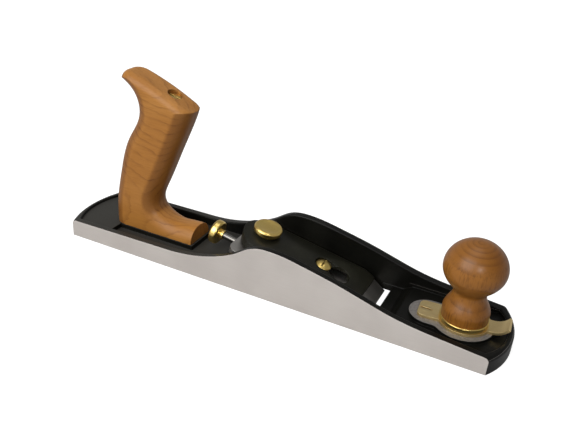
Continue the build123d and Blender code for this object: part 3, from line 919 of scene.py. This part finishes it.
@dataclass
class RearHandle(PartDresser):
    """The tote with its bolt and dowel, and the nut, made long enough to show in the tote's crest."""

    nut_radius: float = 5.6 * MM
    nut_length: float = 12.0 * MM
    nut_rise: float = 2.9 * MM
    nut_rim: float = 0.5 * MM
    nut_bore: float = 3.0 * MM
    nut_wall: float = 2.5 * MM
    nut_recess_shade: float = 0.6
    slot_width: float = 1.4 * MM
    slot_depth: float = 1.3 * MM
    slot_crease: float = 30.0
    steps: int = 64

    def build(self) -> None:
        """Dresses the tote and its fastenings, and makes the nut."""
        self.dress("tote", Cherry().build("tote_cherry"))
        steel = Metal().build("tote_steel")
        self.dress("tote_bolt", steel)
        self.dress("tote_dowel", steel)
        nut = self._nut()
        # The nut's recesses are darkened as painted shade.
        nut.data.materials.append(Brass(recess_shading=self.nut_recess_shade).build("tote_nut_brass"))
        self.stand_in(nut, "plane_body", "tote_nut", "brass")

    def _nut(self) -> bpy.types.Object:
        """Turns the nut about the bolt's axis and saws its slot along the plane.

        Returns:
            The nut, in the scene.
        """
        centre = sum(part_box("tote_nut"), Vector()) / 2
        lean = centre - sum(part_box("tote_bolt"), Vector()) / 2
        tilt = Vector(UP).rotation_difference(lean).to_matrix().to_4x4()
        place = Matrix.Translation(centre) @ tilt
        foot = -self.nut_length / 2
        crown = self.nut_length / 2 + self.nut_rise
        bore_end = foot + self.nut_length - self.nut_wall
        section = [
            (0.0, bore_end),
            (self.nut_bore, bore_end),
            (self.nut_bore, foot),
            (self.nut_radius, foot),
            (self.nut_radius, crown - self.nut_rim),
            (self.nut_radius - self.nut_rim, crown),
            (0.0, crown),
        ]
        nut = self.turn("slotted_nut", section, place, self.steps)
        # The block is centred on the crown, so its lower half cuts, and it reaches past the rim at both ends.
        size = Matrix.Diagonal((3 * self.nut_radius, self.slot_width, 2 * self.slot_depth, 1.0))
        self._saw(nut, place @ Matrix.Translation((0.0, 0.0, crown)) @ size)
        return nut

    def _saw(self, piece: bpy.types.Object, kerf: Matrix) -> None:
        """Takes a block out of a piece.

        Args:
            piece: the piece, in the scene.
            kerf: the block's place and size, as a unit cube's transform.
        """
        shape = bmesh.new()
        bmesh.ops.create_cube(shape, size=1.0, matrix=kerf)
        block = bpy.data.objects.new("kerf", bpy.data.meshes.new("kerf"))
        shape.to_mesh(block.data)
        shape.free()
        bpy.context.scene.collection.objects.link(block)
        cut = piece.modifiers.new("kerf", "BOOLEAN")
        cut.object = block
        cut.solver = "EXACT"
        whole = piece.evaluated_get(bpy.context.evaluated_depsgraph_get())
        piece.data = bpy.data.meshes.new_from_object(whole)
        piece.modifiers.remove(cut)
        bpy.data.objects.remove(block)
        piece.data.set_sharp_from_angle(angle=math.radians(self.slot_crease))


@dataclass(frozen=True)
class Knot:
    """One point of a turned outline, with the pulls that shape the curve on both sides of it."""

    radius: float
    height: float
    lead: Pair
    trail: Pair

    def points(self) -> tuple[Vector, Vector, Vector]:
        """The handle before the knot, the knot and the handle after it, as radius and height."""
        here = Vector((self.radius, self.height))
        return here - Vector(self.lead), here, here + Vector(self.trail)


@dataclass
class FrontKnob(PartDresser):
    """The knob, turned with a longer waist than the solid's, its ferrule and the insert on the stud."""

    shoulder: Knot = Knot(16.2 * MM, 21.4 * MM, lead=(0.0, 6.3 * MM), trail=(1.0 * MM, 5.6 * MM))
    waist: Knot = Knot(11.3 * MM, 37.0 * MM, lead=(0.0, 5.5 * MM), trail=(0.0, 4.2 * MM))
    girth: Knot = Knot(21.5 * MM, 55.8 * MM, lead=(0.0, 10.3 * MM), trail=(0.0, 10.8 * MM))
    crown_pull: float = 12.0 * MM
    heart: Pair = (0.3 * MM, -1.0 * MM)
    steps: int = 128
    bends: int = 24

    def build(self) -> None:
        """Turns the knob and dresses its metal."""
        lathe = self.lathe("knob_turn")
        x, y, z = lathe.centre
        knob = self.turn("turned_knob", self._section(), Matrix.Translation((x, y, 0.0)), self.steps)
        wood = TurnedCherry(pith=(x + self.heart[0], y + self.heart[1], z))
        knob.data.materials.append(wood.build("knob_cherry"))
        self.stand_in(knob, "knob", "front_knob", "cherry")
        brass = Brass(cut=lathe).build("ferrule_brass")
        self.dress("knob_ferrule", brass)
        self.dress("knob_insert", brass)

    def _section(self) -> list[Pair]:
        """The knob's half section: down the insert's bore, out along the foot and up to the crown.

        Returns:
            The radius and height of each point.
        """
        low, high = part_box("front_knob")
        bore_low, bore_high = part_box("knob_insert")
        bore = (bore_high[0] - bore_low[0]) / 2
        crown = Vector((0.0, high[2]))
        knots = [knot.points() for knot in (self.shoulder, self.waist, self.girth)]
        knots.append((crown + Vector((self.crown_pull, 0.0)), crown, crown))
        section = [(0.0, bore_high[2]), (bore, bore_high[2]), (bore, low[2]), (self.shoulder.radius, low[2])]
        for (_, start, leaving), (arriving, end, _) in zip(knots, knots[1:]):
            section += interpolate_bezier(start, leaving, arriving, end, self.bends)[:-1]
        return section + [crown]


@dataclass
class MouthAdjuster(PartDresser):
    """The toe plate, its stud, and the lever with its pivot."""

    lever_colour: Colour = (0.87, 0.69, 0.345)
    lever_shade: Colour = (0.75, 0.57, 0.27)
    lever_roughness: float = 0.42
    pivot_recess_shade: float = 0.6

    def build(self) -> None:
        """Dresses the pieces that set the mouth."""
        self.dress("toe_plate", PlateIron().build("plate_iron"))
        self.dress("toe_stud", Metal(cut=self.lathe("knob_turn")).build("stud_steel"))
        brass = Brass(self.lever_colour, self.lever_shade)
        self.dress("mouth_lever", replace(brass, roughness=self.lever_roughness).build("lever_brass"))
        # The pivot screw's recesses are darkened as painted shade.
        pivot = replace(brass, recess_shading=self.pivot_recess_shade, cut=self.lathe("mouth_lever_swing"))
        self.dress("lever_pivot_screw", pivot.build("pivot_brass"))


@dataclass
class BladeAdjuster(PartDresser):
    """The depth wheel and spindle, the swivel post and the carrier."""

    steel: Colour = (0.20, 0.19, 0.175)
    steel_shade: Colour = (0.15, 0.143, 0.13)
    steel_roughness: float = 0.24

    def build(self) -> None:
        """Dresses the adjuster."""
        lathe = self.lathe("depth_turn")
        self.dress("depth_wheel", Brass(cut=lathe).build("wheel_brass"))
        turned = Metal(self.steel, self.steel_shade, roughness=self.steel_roughness, cut=lathe)
        spindle_steel = turned.build("spindle_steel")
        for node in ("depth_spindle", "spindle_collar"):
            self.dress(node, spindle_steel)
        milled = Metal(cut=Cut(axis=lathe.axis)).build("adjuster_steel")
        for node in ("adjuster_swivel", "blade_carrier", "carrier_pin"):
            self.dress(node, milled)


@dataclass
class BladeAndCap(PartDresser):
    """The iron, the lever cap over it, and the wheel and screw that clamp them."""

    blade_colour: Colour = (0.57, 0.545, 0.51)
    blade_shade: Colour = (0.46, 0.44, 0.41)
    blade_roughness: float = 0.36
    cap_colour: Colour = (0.0080, 0.0078, 0.0048)
    cap_bloom: Colour = (0.0175, 0.0170, 0.0105)
    cap_roughness: float = 0.38
    screw_place: Point = (33.292 * MM, 0.0, 9.606 * MM)
    screw_recess_shade: float = 0.7

    def build(self) -> None:
        """Dresses the iron, the cap and their brass."""
        grinder = Cut(axis=self.lathe("depth_turn").axis)
        blade = Metal(self.blade_colour, self.blade_shade, roughness=self.blade_roughness, cut=grinder)
        self.dress("blade", blade.build("blade_steel"))
        paint = BlackPaint(self.cap_colour, self.cap_bloom, roughness=self.cap_roughness)
        self.dress("lever_cap", paint.build("cap_paint"))
        lathe = self.lathe("cap_wheel_turn")
        self.dress("cap_wheel", Brass(cut=lathe).build("cap_wheel_brass"))
        self.dress("cap_wheel_screw", Metal(cut=lathe).build("cap_wheel_steel"))
        # The cap screw's dome and slot are darkened in their recesses as painted shade.
        dome = Brass(recess_shading=self.screw_recess_shade, cut=replace(lathe, centre=self.screw_place))
        self.dress("cap_screw", dome.build("cap_screw_brass"))


@dataclass
class PhotoCamera:
    """The camera that sees the plane as the photograph does."""

    place: Point = (0.18233, -0.40484, 0.28512)
    right: Point = (0.90019, 0.42870, 0.07660)
    up: Point = (-0.26326, 0.39557, 0.87990)
    ahead: Point = (-0.34691, 0.81225, -0.46894)
    lens: float = 41.91
    sensor: float = 36.0
    nearest: float = 0.01

    def build(self) -> None:
        """Makes the camera and sets it as the scene's."""
        data = bpy.data.cameras.new("photo_camera")
        data.lens = self.lens
        data.sensor_width = self.sensor
        data.sensor_fit = "HORIZONTAL"
        data.clip_start = self.nearest
        camera = bpy.data.objects.new("photo_camera", data)
        columns = (Vector(self.right), Vector(self.up), -Vector(self.ahead))
        turn = Matrix(columns).transposed().to_4x4()
        camera.matrix_world = Matrix.Translation(self.place) @ turn
        bpy.context.scene.collection.objects.link(camera)
        bpy.context.scene.camera = camera


@dataclass
class Softbox:
    """One soft lamp, aimed at a point."""

    name: str
    place: Point
    target: Point
    size: float
    watts: float

    def build(self) -> None:
        """Hangs the lamp."""
        data = bpy.data.lights.new(self.name, "AREA")
        data.shape = "SQUARE"
        data.size = self.size
        data.energy = self.watts
        lamp = bpy.data.objects.new(self.name, data)
        aim = Vector(self.target) - Vector(self.place)
        lamp.location = self.place
        lamp.rotation_euler = aim.to_track_quat("-Z", "Y").to_euler()
        bpy.context.scene.collection.objects.link(lamp)


@dataclass
class Studio:
    """A white floor, a white surround and soft lamps."""

    floor_half: float = 10.0
    floor_drop: float = 0.2 * MM
    floor_colour: Colour = (0.42, 0.42, 0.42)
    floor_roughness: float = 0.9
    floor_glow: Colour = (0.80, 0.80, 0.80)
    floor_far_glow: Colour = WHITE
    shadow_reach: Span = (0.35, 1.3)
    floor_mirrored: float = 0.10
    fill: float = 0.34
    fill_ahead: float = 0.10
    ahead_rise: Span = (-0.3, 0.7)
    fill_behind: float = 0.85
    behind_rise: Span = (0.0, 0.8)
    horizon: float = 0.60
    ceiling: float = 0.26
    ceiling_rise: Span = (0.04, 0.34)
    lamps: list[Softbox] = field(
        default_factory=lambda: [
            Softbox("key", (-0.40, -0.90, 0.85), (0.0, 0.0, 0.03), size=1.0, watts=14.0),
            Softbox("front", (0.52, -0.85, 0.66), (0.10, 0.0, 0.03), size=0.22, watts=3.0),
            Softbox("top", (0.0, 0.10, 1.2), (0.05, 0.0, 0.02), size=0.7, watts=2.0),
        ]
    )

    def build(self) -> None:
        """Makes the floor, the surround and the lamps."""
        self._floor()
        self._surround()
        for lamp in self.lamps:
            lamp.build()
        bpy.context.scene.view_settings.view_transform = "Standard"

    def _floor(self) -> None:
        """Lays the floor, which keeps the plane's shadow and looks white."""
        mesh = bpy.data.meshes.new("floor")
        half = self.floor_half
        corners = [(-half, -half, 0.0), (half, -half, 0.0), (half, half, 0.0), (-half, half, 0.0)]
        mesh.from_pydata(corners, [], [(0, 1, 2, 3)])
        floor = bpy.data.objects.new("floor", mesh)
        floor.location.z = -self.floor_drop
        bpy.context.scene.collection.objects.link(floor)
        mesh.materials.append(self._floor_white())

    def _floor_white(self) -> bpy.types.Material:
        """Makes the floor's material, which glows where the camera sees it and fades to white far away.

        Returns:
            The material.
        """
        finish = Finish("floor_white")
        finish.set("Base Color", self.floor_colour)
        finish.set("Roughness", self.floor_roughness)
        finish.set("Specular IOR Level", 0.0)
        seen, mirrored = finish.backdrop_rays()
        far = finish.off_axis(UP, ORIGIN).ramp(*self.shadow_reach)
        light = finish.mix(far, self.floor_glow, self.floor_far_glow)
        glow = finish.add("ShaderNodeEmission", values={"Color": light, "Strength": 1.0})
        shade = Wire(finish, finish.shader.outputs[0])
        both = finish.add("ShaderNodeAddShader", values={0: shade, 1: glow})
        share = seen.most(mirrored * self.floor_mirrored)
        pick = finish.add("ShaderNodeMixShader", values={0: share, 1: shade, 2: both})
        finish.feed(finish.output.inputs["Surface"], pick)
        return finish.material

    def _surround(self) -> None:
        """Sets the world: white where it is seen, darker overhead where mirrored, a plain fill elsewhere."""
        world = bpy.data.worlds.new("surround")
        world.use_nodes = True
        sky = Nodes(world.node_tree)
        way = sky.add("ShaderNodeTexCoord", result="Generated")
        x = sky.add("ShaderNodeSeparateXYZ", values={0: way})
        ahead = x.ramp(*self.ahead_rise)
        behind = x.beside("Y").ramp(*self.behind_rise)
        overhead = x.beside("Z").ramp(*self.ceiling_rise)
        fill = self.fill + (self.fill_ahead - self.fill) * ahead + (self.fill_behind - self.fill) * behind
        studio = self.horizon + (self.ceiling - self.horizon) * overhead
        seen, mirrored = sky.backdrop_rays()
        sky.set("Color", WHITE)
        sky.set("Strength", seen.most(mirrored * studio + (1 - mirrored) * fill))
        bpy.context.scene.world = world


def main() -> None:
    """Loads the frame, dresses every piece and sets the scene."""
    logging.basicConfig(level=logging.INFO)
    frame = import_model()
    for assembly in (Body, RearHandle, FrontKnob, MouthAdjuster, BladeAdjuster, BladeAndCap):
        assembly(frame).build()
    Studio().build()
    PhotoCamera().build()


if __name__ == "__main__":
    main()
